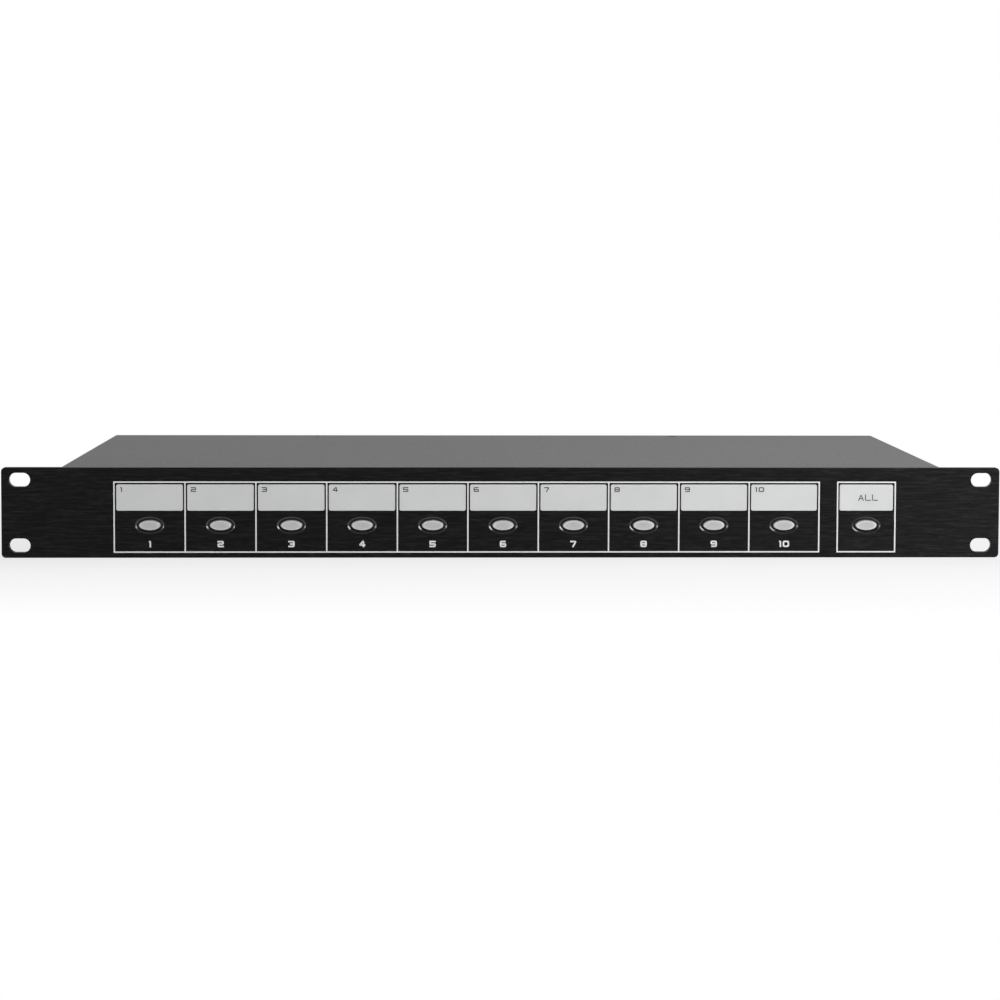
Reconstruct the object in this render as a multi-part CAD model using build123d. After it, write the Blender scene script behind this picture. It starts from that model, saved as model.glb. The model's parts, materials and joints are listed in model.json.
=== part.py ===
from build123d import *
import os

# Audio zone controller, one rack unit high: a slotted rack panel with ten zone buttons and one button
# for all zones, on a folded steel body. Millimetres. X runs to the right seen from the front, Y to the
# rear, Z up. The origin is at the bottom of the body, midway between its sides and midway front to rear.

# Rack panel
panel_width = 482.6
panel_height = 43.7
panel_thickness = 3.0
panel_corner_radius = 2.0
panel_edge_break = 0.3
rack_ear_width = 26.3
rack_slot_inset = 8.75
rack_slot_spacing_z = 31.75
rack_slot_length = 10.3
rack_slot_width = 6.8

# Body
overall_depth = 180.0
body_top_gap = 0.5
sheet_thickness = 1.0
cover_bend_radius = 2.0
cover_ground_gap = 0.3
cover_fit = 0.1
cover_front_gap = 0.2

# Row of zone cells on the panel, with the cell for all zones at its right end
zone_count = 10
row_left_margin = 27.8
row_right_margin = 24.53
all_cell_gap = 9.0
all_cell_width = 28.07
button_centre_z = 15.75

# Label fields, each a plate in a shallow pocket milled into the panel
label_side_gap = 0.93
label_pocket_height = 12.9
label_pocket_depth = 0.8
label_pocket_corner = 1.0
label_centre_z = 29.2
label_play = 0.1
label_thickness = 0.65

# Buttons: oval cap and the travel of a press
button_width = 10.1
button_height = 4.7
button_rise = 0.5
button_edge_round = 0.4
button_play = 0.15
button_flange_margin = 1.0
button_flange_thickness = 1.0
button_flange_gap = 0.1
button_travel = 1.0
press_margin = 0.8

# Dished surrounds of the buttons, let into the panel from behind
bezel_side_band = 2.0
bezel_top_band = 1.8
bezel_play = 0.1
bezel_hole_chamfer = 0.1
bezel_rim = 0.1
bezel_lip_width = 0.7
bezel_lip_depth = 0.4
bezel_dish_depth = 1.6
bezel_dish_round = 0.8
bezel_flange_margin = 2.0
bezel_flange_thickness = 1.0
bezel_sink = 0.05

# Push switches behind the buttons
switch_size = 6.0
switch_lid_thickness = 0.6
switch_floor_thickness = 0.4
switch_edge_round = 0.4
plunger_radius = 1.7
plunger_play = 0.05
collar_radius = 2.3
collar_height = 0.8
collar_play = 0.1
nub_radius = 0.9
nub_height = 0.25
dome_wall = 0.35
dome_solid_height = 0.4

# Indicator lamps beside the switches
lamp_width = 2.0
lamp_height = 1.25
lamp_thickness = 1.1
lamp_gap = 0.6
lamp_lens_radius = 0.45
lamp_lens_rise = 0.2

# Switch board behind the panel
board_thickness = 1.6
board_corner_radius = 1.5
switch_board_side_margin = 12.0
switch_board_bottom = 6.0
switch_board_top_gap = 6.2
spacer_across_flats = 5.0
spacer_row_inset = 3.5

# Screws, studs and nuts, all of the three millimetre thread but the earth screw
screw_radius = 1.5
screw_head_radius = 2.8
screw_head_height = 1.8
screw_head_round = 0.5
screw_length = 6.0
screw_hole_play = 0.2
thread_play = 0.05
thread_spare = 1.0
cross_width = 0.7
cross_length = 3.2
cross_depth = 0.9
sunk_head_radius = 2.9
sunk_head_depth = 1.5
sunk_head_play = 0.05
nut_across_flats = 5.5
nut_height = 2.4
stud_length = 7.0
stud_inset_x = 10.5
stud_inset_z = 9.0

# Base tray
front_lip_height = 5.0
front_tab_width = 18.0
front_tab_top_gap = 0.3
side_flange_height = 14.0
side_flange_end_gap = 1.5
rear_flange_depth = 14.0
tray_bend_radius = 1.5
side_screw_rows = 3
side_screw_end_inset = 24.0
side_screw_height = 8.0
rear_screw_spacing = 200.0
rear_screw_inset = 7.0

# Main board
main_board_width = 300.0
main_board_depth = 105.0
main_board_rear_gap = 1.5
main_board_hole_inset = 6.0
board_part_gap = 2.0
standoff_height = 6.0
standoff_across_flats = 5.5
standoff_screw_length = 5.5

# Relays that switch the zone lines
relay_width = 15.5
relay_length = 19.0
relay_height = 15.5
relay_edge_round = 0.8
relay_base_height = 2.0
relay_base_margin = 0.4
relay_gap = 3.5
relay_row_inset = 12.0

# Chips with two rows of legs
chip_width = 6.4
chip_height = 3.4
chip_stand = 0.5
chip_leg_width = 0.5
chip_leg_thickness = 0.3
chip_leg_pitch = 2.54
chip_end_margin = 1.2
chip_notch_radius = 0.9
chip_notch_depth = 0.4
chip_row_front_inset = 32.0
driver_count = 2
driver_pairs = 9
driver_pitch = 35.0
driver_row_x = -52.5
controller_pairs = 14
controller_x = 12.0

# Crystal beside the controller
crystal_length = 11.0
crystal_width = 4.6
crystal_height = 3.6
crystal_rim_margin = 0.4
crystal_rim_height = 0.5
crystal_gap = 5.0

# Supply: inlet jack, capacitors, regulator and heat sink
inlet_width = 9.0
inlet_length = 14.4
inlet_height = 11.0
inlet_bore_radius = 3.2
inlet_bore_depth = 9.0
inlet_pin_radius = 1.0
inlet_side_inset = 38.0
capacitor_count = 3
capacitor_radius = 5.0
capacitor_height = 16.0
capacitor_edge_round = 0.6
capacitor_vent_width = 0.4
capacitor_vent_depth = 0.3
capacitor_spacing = 3.0
capacitor_row_gap = 10.0
regulator_width = 10.0
regulator_thickness = 4.5
regulator_body_height = 9.0
regulator_tab_height = 6.4
regulator_tab_thickness = 1.3
regulator_tab_hole_radius = 1.8
regulator_leg_width = 0.8
regulator_leg_pitch = 2.54
regulator_leg_height = 4.0
regulator_side_inset = 40.0
regulator_front_inset = 30.0
sink_width = 25.0
sink_height = 24.0
sink_web_thickness = 2.0
sink_fin_count = 6
sink_fin_length = 12.0
sink_fin_thickness = 1.4

# Screw terminals at the rear edge of the main board
terminal_pitch = 5.08
terminal_end_margin = 0.8
terminal_length = 11.0
terminal_height = 10.5
terminal_top_slope = 2.5
terminal_step_height = 6.5
terminal_wire_width = 3.0
terminal_wire_height = 3.2
terminal_wire_depth = 7.0
terminal_wire_centre_z = 3.4
terminal_screw_radius = 1.6
terminal_screw_play = 0.15
terminal_screw_height = 1.6
terminal_screw_well = 3.0
terminal_screw_inset = 7.6
terminal_slot_width = 0.6
terminal_slot_depth = 0.6
terminal_reach = 1.0
terminal_cutout_play = 0.3
terminal_row_inset = 12.0
terminal_gap = 8.0
zone_terminal_count = 2
zone_terminal_poles = 10
line_terminal_poles = 4

# Earth screw on the rear wall
earth_radius = 2.0
earth_head_radius = 4.0
earth_head_height = 2.6
earth_length = 12.0
earth_nut_across_flats = 7.0
earth_nut_height = 3.2
earth_inlet_gap = 43.5
earth_z = 18.0

# Ribbon cable between the boards, with a plug and a header at each end
ribbon_width = 20.3
ribbon_thickness = 0.9
ribbon_bend_radius = 5.0
ribbon_x = -56.0
plug_end_margin = 3.0
plug_width = 6.0
plug_height = 9.0
plug_ribbon_depth = 1.4
header_wall = 1.2
header_floor = 2.0
header_height = 7.0
header_play = 0.15
front_header_z = 29.0
main_header_front_inset = 12.0

# One overrun serves all cuts
overrun = 1.0

# Body and panel planes
body_width = panel_width - 2 * rack_ear_width
body_height = panel_height - body_top_gap
panel_front = -overall_depth / 2
panel_back = panel_front + panel_thickness
body_rear = overall_depth / 2
rear_inside = body_rear - sheet_thickness
cover_inside_x = body_width / 2 - sheet_thickness
cover_inside_z = body_height - sheet_thickness
tray_side_x = cover_inside_x - cover_fit
tray_floor = sheet_thickness

# Cells along the panel
row_left = row_left_margin - body_width / 2
row_right = body_width / 2 - row_right_margin
zone_pitch = (row_right - all_cell_width - all_cell_gap - row_left) / zone_count
zone_x = [row_left + zone_pitch * (i + 0.5) for i in range(zone_count)]
all_x = row_right - all_cell_width / 2
button_x = zone_x + [all_x]
button_names = [f"zone_{i + 1}" for i in range(zone_count)] + ["all"]
zone_label_width = zone_pitch - 2 * label_side_gap
all_label_width = all_cell_width - 2 * label_side_gap

# Depths behind the panel, from the cap of a button to the switch board
bezel_width = button_width + 2 * bezel_side_band
bezel_height = button_height + 2 * bezel_top_band
bezel_back = panel_back + bezel_flange_thickness
cap_front = panel_front - button_rise
cap_flange_front = bezel_back + button_flange_gap
cap_back = cap_flange_front + button_flange_thickness
switch_front = cap_back + button_travel + press_margin
chamber_front = switch_front + switch_lid_thickness
collar_front = chamber_front + plunger_play
nub_front = collar_front + collar_height
dome_front = nub_front + nub_height
dome_height = button_travel + dome_solid_height
switch_floor = dome_front + dome_height
switch_board_front = switch_floor + switch_floor_thickness
switch_board_back = switch_board_front + board_thickness

# Places of the switch board and its spacers
switch_board_left = button_x[0] - switch_board_side_margin
switch_board_right = button_x[-1] + switch_board_side_margin
switch_board_top = cover_inside_z - switch_board_top_gap
spacer_x = [row_left + zone_pitch, row_left + zone_pitch * (zone_count // 2 + 1), (zone_x[-1] + all_x) / 2]
spacer_z = [switch_board_bottom + spacer_row_inset, switch_board_top - spacer_row_inset]
spacer_places = [(x, z) for x in spacer_x for z in spacer_z]
spacer_hole_depth = screw_length - board_thickness + thread_spare

# Places of the studs and of the cover's screws
stud_x = cover_inside_x - stud_inset_x
stud_places = [(x, z) for x in (-stud_x, stud_x) for z in (stud_inset_z, panel_height - stud_inset_z)]
side_screw_run = body_rear - panel_back - 2 * side_screw_end_inset
side_screw_step = side_screw_run / (side_screw_rows - 1)
side_screw_y = [panel_back + side_screw_end_inset + i * side_screw_step for i in range(side_screw_rows)]
rear_screw_x = (-rear_screw_spacing / 2, rear_screw_spacing / 2)
rear_screw_y = body_rear - rear_screw_inset

# Places on the main board
main_board_left = -main_board_width / 2
main_board_right = main_board_width / 2
main_board_rear = rear_inside - main_board_rear_gap
main_board_front = main_board_rear - main_board_depth
main_board_bottom = tray_floor + standoff_height
main_board_top = main_board_bottom + board_thickness
terminal_rear = body_rear + terminal_reach
terminal_front = terminal_rear - terminal_length
standoff_x = main_board_right - main_board_hole_inset
standoff_front_y = main_board_front + main_board_hole_inset
standoff_rear_y = terminal_front - board_part_gap - screw_head_radius
standoff_places = [(x, y) for x in (-standoff_x, 0, standoff_x) for y in (standoff_front_y, standoff_rear_y)]
standoff_hole_depth = standoff_screw_length - board_thickness + thread_spare
relay_pitch = relay_width + relay_gap
relay_y = standoff_rear_y - screw_head_radius - board_part_gap - relay_length / 2
relay_x = [main_board_left + relay_row_inset + relay_width / 2 + i * relay_pitch for i in range(zone_count)]
capacitor_pitch = 2 * capacitor_radius + capacitor_spacing
capacitor_first_x = relay_x[-1] + relay_width / 2 + capacitor_row_gap + capacitor_radius
chip_y = main_board_front + chip_row_front_inset
driver_x = [driver_row_x + (i - (driver_count - 1) / 2) * driver_pitch for i in range(driver_count)]
regulator_x = main_board_right - regulator_side_inset
regulator_back = main_board_front + regulator_front_inset
inlet_x = main_board_right - inlet_side_inset
zone_terminal_width = zone_terminal_poles * terminal_pitch + 2 * terminal_end_margin
line_terminal_width = line_terminal_poles * terminal_pitch + 2 * terminal_end_margin
zone_terminal_pitch = zone_terminal_width + terminal_gap
zone_terminal_first_x = main_board_left + terminal_row_inset + zone_terminal_width / 2
zone_terminal_x = [zone_terminal_first_x + i * zone_terminal_pitch for i in range(zone_terminal_count)]
line_terminal_x = zone_terminal_x[-1] + (zone_terminal_width + line_terminal_width) / 2 + terminal_gap
earth_x = inlet_x + inlet_width / 2 + earth_inlet_gap

# Ribbon cable and its plugs
plug_length = ribbon_width + 2 * plug_end_margin
ribbon_level = (header_height + header_floor + plug_height) / 2
main_header_y = main_board_front + main_header_front_inset


# Shapes used by several pieces

def span(middle, size):
    """Limits of a length about its middle."""
    return (middle - size / 2, middle + size / 2)


def block(x, y, z):
    """Box between the pairs of limits x, y and z."""
    size = [high - low for low, high in (x, y, z)]
    middle = [(low + high) / 2 for low, high in (x, y, z)]
    return Pos(*middle) * Box(*size)


def to_rear(x, y, z):
    """Plane at a point, facing the rear, with its own X along X."""
    return Plane(origin=(x, y, z), x_dir=(1, 0, 0), z_dir=(0, 1, 0))


def along_y(sketch, x, z, front, back):
    """Prism of a sketch, from one depth to another."""
    return extrude(to_rear(x, front, z) * sketch, back - front)


def through_y(sketch, x, z, front, back):
    """Cutter that passes both depths."""
    return along_y(sketch, x, z, front - overrun, back + overrun)


def upward(sketch, x, y, bottom, top):
    """Prism of a sketch, from one height to another."""
    return extrude(Pos(x, y, bottom) * sketch, top - bottom)


def across_x(outline, middle, width):
    """Prism of an outline in Y and Z, to both sides of a middle."""
    return Pos(middle, 0, 0) * extrude(Plane.YZ * outline, width / 2, both=True)


def oval(width, height, margin=0):
    return Ellipse(width / 2 + margin, height / 2 + margin)


def hexagon(across_flats):
    return RegularPolygon(across_flats / 2, 6, major_radius=False)


def group(solids):
    return Compound(children=list(solids))


def cross_recess():
    """Cutter of a cross recess, open at Z zero and reaching down."""
    arm = Box(cross_length, cross_width, cross_depth + overrun)
    return Pos(0, 0, (overrun - cross_depth) / 2) * (arm + Rot(Z=90) * arm)


def pan_screw(length, radius=screw_radius, head_radius=screw_head_radius, head_height=screw_head_height):
    """Pan head screw along Z: the head stands on Z zero and the thread hangs below."""
    head = upward(Circle(head_radius), 0, 0, 0, head_height)
    head = fillet(head.faces().sort_by(Axis.Z)[-1].edges(), screw_head_round)
    head -= Pos(0, 0, head_height) * cross_recess()
    return head + upward(Circle(radius), 0, 0, -length, 0)


def sunk_head(play=0):
    """Cone of a countersunk head below Z zero."""
    cone = Cone(screw_radius + play, sunk_head_radius + play, sunk_head_depth)
    return Pos(0, 0, -sunk_head_depth / 2) * cone


def sunk_screw():
    """Countersunk screw along Z, flush with Z zero."""
    thread = upward(Circle(screw_radius), 0, 0, -screw_length, -sunk_head_depth)
    return sunk_head() - cross_recess() + thread


# Front panel with its labels, surrounds and fixings

def label_outline(width, play=0):
    height = label_pocket_height - 2 * play
    return RectangleRounded(width - 2 * play, height, label_pocket_corner - play)


def label_pocket(x, width):
    floor = panel_front + label_pocket_depth
    return along_y(label_outline(width), x, label_centre_z, panel_front - overrun, floor)


def label_plate(x, width):
    floor = panel_front + label_pocket_depth
    return along_y(label_outline(width, label_play), x, label_centre_z, floor - label_thickness, floor)


def funnel_hole(x, mouth, hole, front, neck, back):
    """Cutter that narrows from a mouth to a hole between front and neck, and runs on to the back."""
    funnel = loft([
        to_rear(x, front, button_centre_z) * mouth,
        to_rear(x, neck, button_centre_z) * hole,
    ])
    return funnel + along_y(hole, x, button_centre_z, neck, back)


def button_hole(x):
    """Cutter of an oval hole, chamfered at the front."""
    hole = oval(bezel_width, bezel_height, bezel_play)
    mouth = oval(bezel_width, bezel_height, bezel_play + bezel_hole_chamfer)
    return funnel_hole(x, mouth, hole, panel_front, panel_front + bezel_hole_chamfer, panel_back + overrun)


def front_panel():
    middle_z = panel_height / 2
    outline = RectangleRounded(panel_width, panel_height, panel_corner_radius)
    plate = along_y(outline, 0, middle_z, panel_front, panel_back)
    slot = SlotOverall(rack_slot_length, rack_slot_width)
    for x in span(0, panel_width - 2 * rack_slot_inset):
        for z in span(middle_z, rack_slot_spacing_z):
            plate -= through_y(slot, x, z, panel_front, panel_back)
    plate = chamfer(plate.faces().sort_by(Axis.Y)[0].edges(), panel_edge_break)
    for x in button_x:
        plate -= button_hole(x)
    for x in zone_x:
        plate -= label_pocket(x, zone_label_width)
    return plate - label_pocket(all_x, all_label_width)


def zone_labels():
    return group(label_plate(x, zone_label_width) for x in zone_x)


def all_label():
    return label_plate(all_x, all_label_width)


def bezel(x):
    """Surround with a bevelled lip and a dished face, held by a flange behind the panel."""
    rim_front = panel_front + bezel_sink
    dish_floor = rim_front + bezel_dish_depth
    flange = oval(bezel_width, bezel_height, bezel_flange_margin)
    ring = along_y(oval(bezel_width, bezel_height), x, button_centre_z, rim_front, panel_back)
    ring += along_y(flange, x, button_centre_z, panel_back, bezel_back)
    mouth = oval(bezel_width, bezel_height, -bezel_rim)
    well = oval(bezel_width, bezel_height, -bezel_rim - bezel_lip_width)
    dish = funnel_hole(x, mouth, well, rim_front, rim_front + bezel_lip_depth, dish_floor)
    dish = fillet(dish.faces().sort_by(Axis.Y)[-1].edges(), bezel_dish_round)
    opening = oval(button_width, button_height, button_play)
    return ring - dish - through_y(opening, x, button_centre_z, rim_front, bezel_back)


def button_bezels():
    return group(bezel(x) for x in button_x)


def panel_studs():
    stud = Circle(screw_radius)
    return group(along_y(stud, x, z, panel_back, panel_back + stud_length) for x, z in stud_places)


def panel_nuts():
    seat = panel_back + sheet_thickness
    ring = hexagon(nut_across_flats) - Circle(screw_radius + thread_play)
    return group(along_y(ring, x, z, seat, seat + nut_height) for x, z in stud_places)


# Buttons, and the switches that they press

def button_cap(x):
    cap = along_y(oval(button_width, button_height), x, button_centre_z, cap_front, cap_flange_front)
    cap = fillet(cap.faces().sort_by(Axis.Y)[0].edges(), button_edge_round)
    flange = oval(button_width, button_height, button_flange_margin)
    return cap + along_y(flange, x, button_centre_z, cap_flange_front, cap_back)


def plunger(x):
    rod = along_y(Circle(plunger_radius), x, button_centre_z, cap_back, collar_front)
    rod += along_y(Circle(collar_radius), x, button_centre_z, collar_front, nub_front)
    return rod + along_y(Circle(nub_radius), x, button_centre_z, nub_front, dome_front)


def switch_housing(x):
    case = block(span(x, switch_size), (switch_front, switch_board_front), span(button_centre_z, switch_size))
    case = fillet(case.edges().filter_by(Axis.Y), switch_edge_round)
    bore = Circle(plunger_radius + plunger_play)
    case -= along_y(bore, x, button_centre_z, switch_front - overrun, collar_front)
    chamber = Circle(collar_radius + collar_play)
    return case - along_y(chamber, x, button_centre_z, chamber_front, switch_floor)


def switch_housings():
    return group(switch_housing(x) for x in button_x)


def switch_dome(x):
    """Rubber dome that returns the plunger: a hollow cone on the floor of the switch."""
    top_radius = nub_radius + dome_wall
    hollow_height = dome_height - dome_wall
    hollow = Cone(collar_radius - dome_wall, top_radius - dome_wall, hollow_height)
    shell = Cone(collar_radius, top_radius, dome_height)
    shell -= Pos(0, 0, (hollow_height - dome_height) / 2) * hollow
    return Pos(x, dome_front + dome_height / 2, button_centre_z) * Rot(X=90) * shell


def switch_domes():
    return group(switch_dome(x) for x in button_x)


def button_lamp(button):
    x = button - (switch_size + lamp_width) / 2 - lamp_gap
    front = switch_board_front - lamp_thickness
    body = block(span(x, lamp_width), (front, switch_board_front), span(button_centre_z, lamp_height))
    return body + along_y(Circle(lamp_lens_radius), x, button_centre_z, front - lamp_lens_rise, front)


def button_lamps():
    return group(button_lamp(x) for x in button_x)


def switch_board():
    width = switch_board_right - switch_board_left
    height = switch_board_top - switch_board_bottom
    middle_x = (switch_board_left + switch_board_right) / 2
    middle_z = (switch_board_bottom + switch_board_top) / 2
    outline = RectangleRounded(width, height, board_corner_radius)
    board = along_y(outline, middle_x, middle_z, switch_board_front, switch_board_back)
    hole = Circle(screw_radius + screw_hole_play)
    for x, z in spacer_places:
        board -= through_y(hole, x, z, switch_board_front, switch_board_back)
    return board


def switch_board_spacers():
    spacers = []
    hole = Circle(screw_radius + thread_play)
    for x, z in spacer_places:
        post = along_y(hexagon(spacer_across_flats), x, z, panel_back, switch_board_front)
        hole_end = switch_board_front - spacer_hole_depth
        spacers.append(post - along_y(hole, x, z, hole_end, switch_board_front + overrun))
    return group(spacers)


def switch_board_screws():
    screw = Rot(X=-90) * pan_screw(screw_length)
    return group(Pos(x, switch_board_back, z) * screw for x, z in spacer_places)


# Body: base tray, cover and their screws

def rear_cutouts():
    """Openings of the rear wall for the terminals, the inlet and the earth screw."""
    through = (rear_inside - overrun, body_rear + overrun)
    ports = [(x, zone_terminal_width, terminal_height) for x in zone_terminal_x]
    ports.append((line_terminal_x, line_terminal_width, terminal_height))
    ports.append((inlet_x, inlet_width, inlet_height))
    cuts = along_y(Circle(earth_radius + screw_hole_play), earth_x, earth_z, *through)
    for x, width, height in ports:
        tall = (main_board_top - terminal_cutout_play, main_board_top + height + terminal_cutout_play)
        cuts += block(span(x, width + 2 * terminal_cutout_play), through, tall)
    return cuts


def tray_sheet():
    """Front lip, floor, rear wall and rear flange, folded from one strip."""
    half = sheet_thickness / 2
    flange_z = cover_inside_z - cover_fit - half
    middle_line = FilletPolyline(
        (panel_back + half, front_lip_height),
        (panel_back + half, half),
        (body_rear - half, half),
        (body_rear - half, flange_z),
        (body_rear - rear_flange_depth, flange_z),
        radius=tray_bend_radius - half,
    )
    return across_x(trace(middle_line, sheet_thickness), 0, 2 * tray_side_x)


def tray_side(side):
    """Front tab and side flange at one side, with side 1 on the right and -1 on the left."""
    outer = side * tray_side_x
    tab = sorted((outer, outer - side * front_tab_width))
    tab_y = (panel_back, panel_back + sheet_thickness)
    flange = sorted((outer, outer - side * sheet_thickness))
    flange_y = (panel_back + side_flange_end_gap, body_rear - side_flange_end_gap)
    tab_piece = block(tab, tab_y, (tray_bend_radius, cover_inside_z - front_tab_top_gap))
    return tab_piece + block(flange, flange_y, (0, side_flange_height))


def tray_corner(side):
    """Cutter that clears the inside of the cover's bend."""
    corner = cover_bend_radius - sheet_thickness + cover_fit
    across = sorted((side * (cover_inside_x - corner), side * body_width))
    return block(across, (panel_front, body_rear + overrun), (cover_inside_z - corner, body_height))


def base_tray():
    tray = tray_sheet()
    for side in (-1, 1):
        tray += tray_side(side)
    for side in (-1, 1):
        tray -= tray_corner(side)
    stud_hole = Circle(screw_radius + screw_hole_play)
    for x, z in stud_places:
        tray -= through_y(stud_hole, x, z, panel_back, panel_back + sheet_thickness)
    for y in side_screw_y:
        tray -= Pos(0, y, side_screw_height) * Rot(Y=90) * Cylinder(screw_radius + thread_play, body_width)
    screw_hole = upward(Circle(screw_radius + thread_play), 0, 0, -screw_length, 0)
    screw_hole += sunk_head(sunk_head_play)
    for x in rear_screw_x:
        tray -= Pos(x, rear_screw_y, body_height) * screw_hole
    return tray - rear_cutouts()


def cover_outline(width, height, radius):
    """Rectangle standing on Y zero, with its upper corners rounded."""
    outline = Pos(0, height / 2) * Rectangle(width, height)
    return fillet(outline.vertices().group_by(Axis.Y)[-1], radius)


def top_cover():
    """Lid with both side walls, folded from one sheet."""
    wall_height = body_height - cover_ground_gap
    profile = cover_outline(body_width, wall_height, cover_bend_radius)
    inner_radius = cover_bend_radius - sheet_thickness
    profile -= cover_outline(2 * cover_inside_x, wall_height - sheet_thickness, inner_radius)
    front = panel_back + cover_front_gap
    section = Plane(origin=(0, front, cover_ground_gap), x_dir=(-1, 0, 0), z_dir=(0, 1, 0))
    cover = extrude(section * profile, body_rear - front)
    for x in rear_screw_x:
        cover -= Pos(x, rear_screw_y, body_height) * sunk_head(sunk_head_play)
    side_hole = Cylinder(screw_radius + screw_hole_play, body_width + overrun)
    for y in side_screw_y:
        cover -= Pos(0, y, side_screw_height) * Rot(Y=90) * side_hole
    return cover


def cover_side_screws():
    screws = []
    for y in side_screw_y:
        for side in (-1, 1):
            seat = Pos(side * body_width / 2, y, side_screw_height) * Rot(Y=side * 90)
            screws.append(seat * pan_screw(screw_length))
    return group(screws)


def cover_rear_screws():
    return group(Pos(x, rear_screw_y, body_height) * sunk_screw() for x in rear_screw_x)


# Main board and what stands on it

def main_board():
    outline = RectangleRounded(main_board_width, main_board_depth, board_corner_radius)
    board = upward(outline, 0, (main_board_front + main_board_rear) / 2, main_board_bottom, main_board_top)
    hole = Circle(screw_radius + screw_hole_play)
    for x, y in standoff_places:
        board -= upward(hole, x, y, main_board_bottom - overrun, main_board_top + overrun)
    return board


def main_board_standoffs():
    posts = []
    hole = Circle(screw_radius + thread_play)
    for x, y in standoff_places:
        post = upward(hexagon(standoff_across_flats), x, y, tray_floor, main_board_bottom)
        hole_end = main_board_bottom - standoff_hole_depth
        posts.append(post - upward(hole, x, y, hole_end, main_board_bottom + overrun))
    return group(posts)


def main_board_screws():
    screw = pan_screw(standoff_screw_length)
    return group(Pos(x, y, main_board_top) * screw for x, y in standoff_places)


def relay(x):
    base_top = main_board_top + relay_base_height
    base = block(span(x, relay_width), span(relay_y, relay_length), (main_board_top, base_top))
    case_width = relay_width - 2 * relay_base_margin
    case_length = relay_length - 2 * relay_base_margin
    case = block(span(x, case_width), span(relay_y, case_length), (base_top, main_board_top + relay_height))
    rounded = case.edges().filter_by(Axis.Z) + case.faces().sort_by(Axis.Z)[-1].edges()
    return base + fillet(rounded, relay_edge_round)


def zone_relays():
    return group(relay(x) for x in relay_x)


def chip(x, pairs):
    """Chip lying along X, with a leg at each pitch on both long sides."""
    length = (pairs - 1) * chip_leg_pitch + 2 * chip_end_margin
    bottom = main_board_top + chip_stand
    top = bottom + chip_height
    body = block(span(x, length), span(chip_y, chip_width), (bottom, top))
    body -= upward(Circle(chip_notch_radius), x - length / 2, chip_y, top - chip_notch_depth, top + overrun)
    shoulder = bottom + chip_height / 2
    for i in range(pairs):
        leg_x = x + (i - (pairs - 1) / 2) * chip_leg_pitch
        for side in (-1, 1):
            face = chip_y + side * chip_width / 2
            leg_y = sorted((face, face + side * chip_leg_thickness))
            body += block(span(leg_x, chip_leg_width), leg_y, (main_board_top, shoulder))
    return body


def relay_drivers():
    return group(chip(x, driver_pairs) for x in driver_x)


def control_chip():
    return chip(controller_x, controller_pairs)


def crystal():
    y = chip_y - chip_width / 2 - crystal_gap
    rim = SlotOverall(crystal_length + 2 * crystal_rim_margin, crystal_width + 2 * crystal_rim_margin)
    can = SlotOverall(crystal_length, crystal_width)
    rim_top = main_board_top + crystal_rim_height
    base = upward(rim, controller_x, y, main_board_top, rim_top)
    return base + upward(can, controller_x, y, rim_top, main_board_top + crystal_height)


def supply_capacitors():
    cans = []
    top = main_board_top + capacitor_height
    vent = Box(capacitor_radius, capacitor_vent_width, 2 * capacitor_vent_depth)
    for i in range(capacitor_count):
        x = capacitor_first_x + i * capacitor_pitch
        can = upward(Circle(capacitor_radius), x, relay_y, main_board_top, top)
        can = fillet(can.faces().sort_by(Axis.Z)[-1].edges(), capacitor_edge_round)
        cans.append(can - Pos(x, relay_y, top) * (vent + Rot(Z=90) * vent))
    return group(cans)


def voltage_regulator():
    across = span(regulator_x, regulator_width)
    body_bottom = main_board_top + regulator_leg_height
    body_top = body_bottom + regulator_body_height
    tab_top = body_top + regulator_tab_height
    tab_front = regulator_back - regulator_tab_thickness
    package = block(across, (regulator_back - regulator_thickness, regulator_back), (body_bottom, body_top))
    package += block(across, (tab_front, regulator_back), (body_top, tab_top))
    hole = Circle(regulator_tab_hole_radius)
    package -= through_y(hole, regulator_x, (body_top + tab_top) / 2, tab_front, regulator_back)
    leg_y = span(regulator_back - regulator_thickness / 2, regulator_leg_width)
    for i in (-1, 0, 1):
        leg_x = span(regulator_x + i * regulator_leg_pitch, regulator_leg_width)
        package += block(leg_x, leg_y, (main_board_top, body_bottom))
    return package


def regulator_heat_sink():
    tall = (main_board_top, main_board_top + sink_height)
    fin_end = regulator_back + sink_web_thickness + sink_fin_length
    sink = block(span(regulator_x, sink_width), (regulator_back, regulator_back + sink_web_thickness), tall)
    step = (sink_width - sink_fin_thickness) / (sink_fin_count - 1)
    for i in range(sink_fin_count):
        fin_x = regulator_x + (i - (sink_fin_count - 1) / 2) * step
        sink += block(span(fin_x, sink_fin_thickness), (regulator_back, fin_end), tall)
    return sink


def dc_inlet():
    tall = (main_board_top, main_board_top + inlet_height)
    body = block(span(inlet_x, inlet_width), (terminal_rear - inlet_length, terminal_rear), tall)
    bore_z = main_board_top + inlet_height / 2
    bore_end = terminal_rear - inlet_bore_depth
    body -= along_y(Circle(inlet_bore_radius), inlet_x, bore_z, bore_end, terminal_rear + overrun)
    return body + along_y(Circle(inlet_pin_radius), inlet_x, bore_z, bore_end, body_rear)


def pole_x(middle, poles):
    return [middle + (i - (poles - 1) / 2) * terminal_pitch for i in range(poles)]


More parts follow.
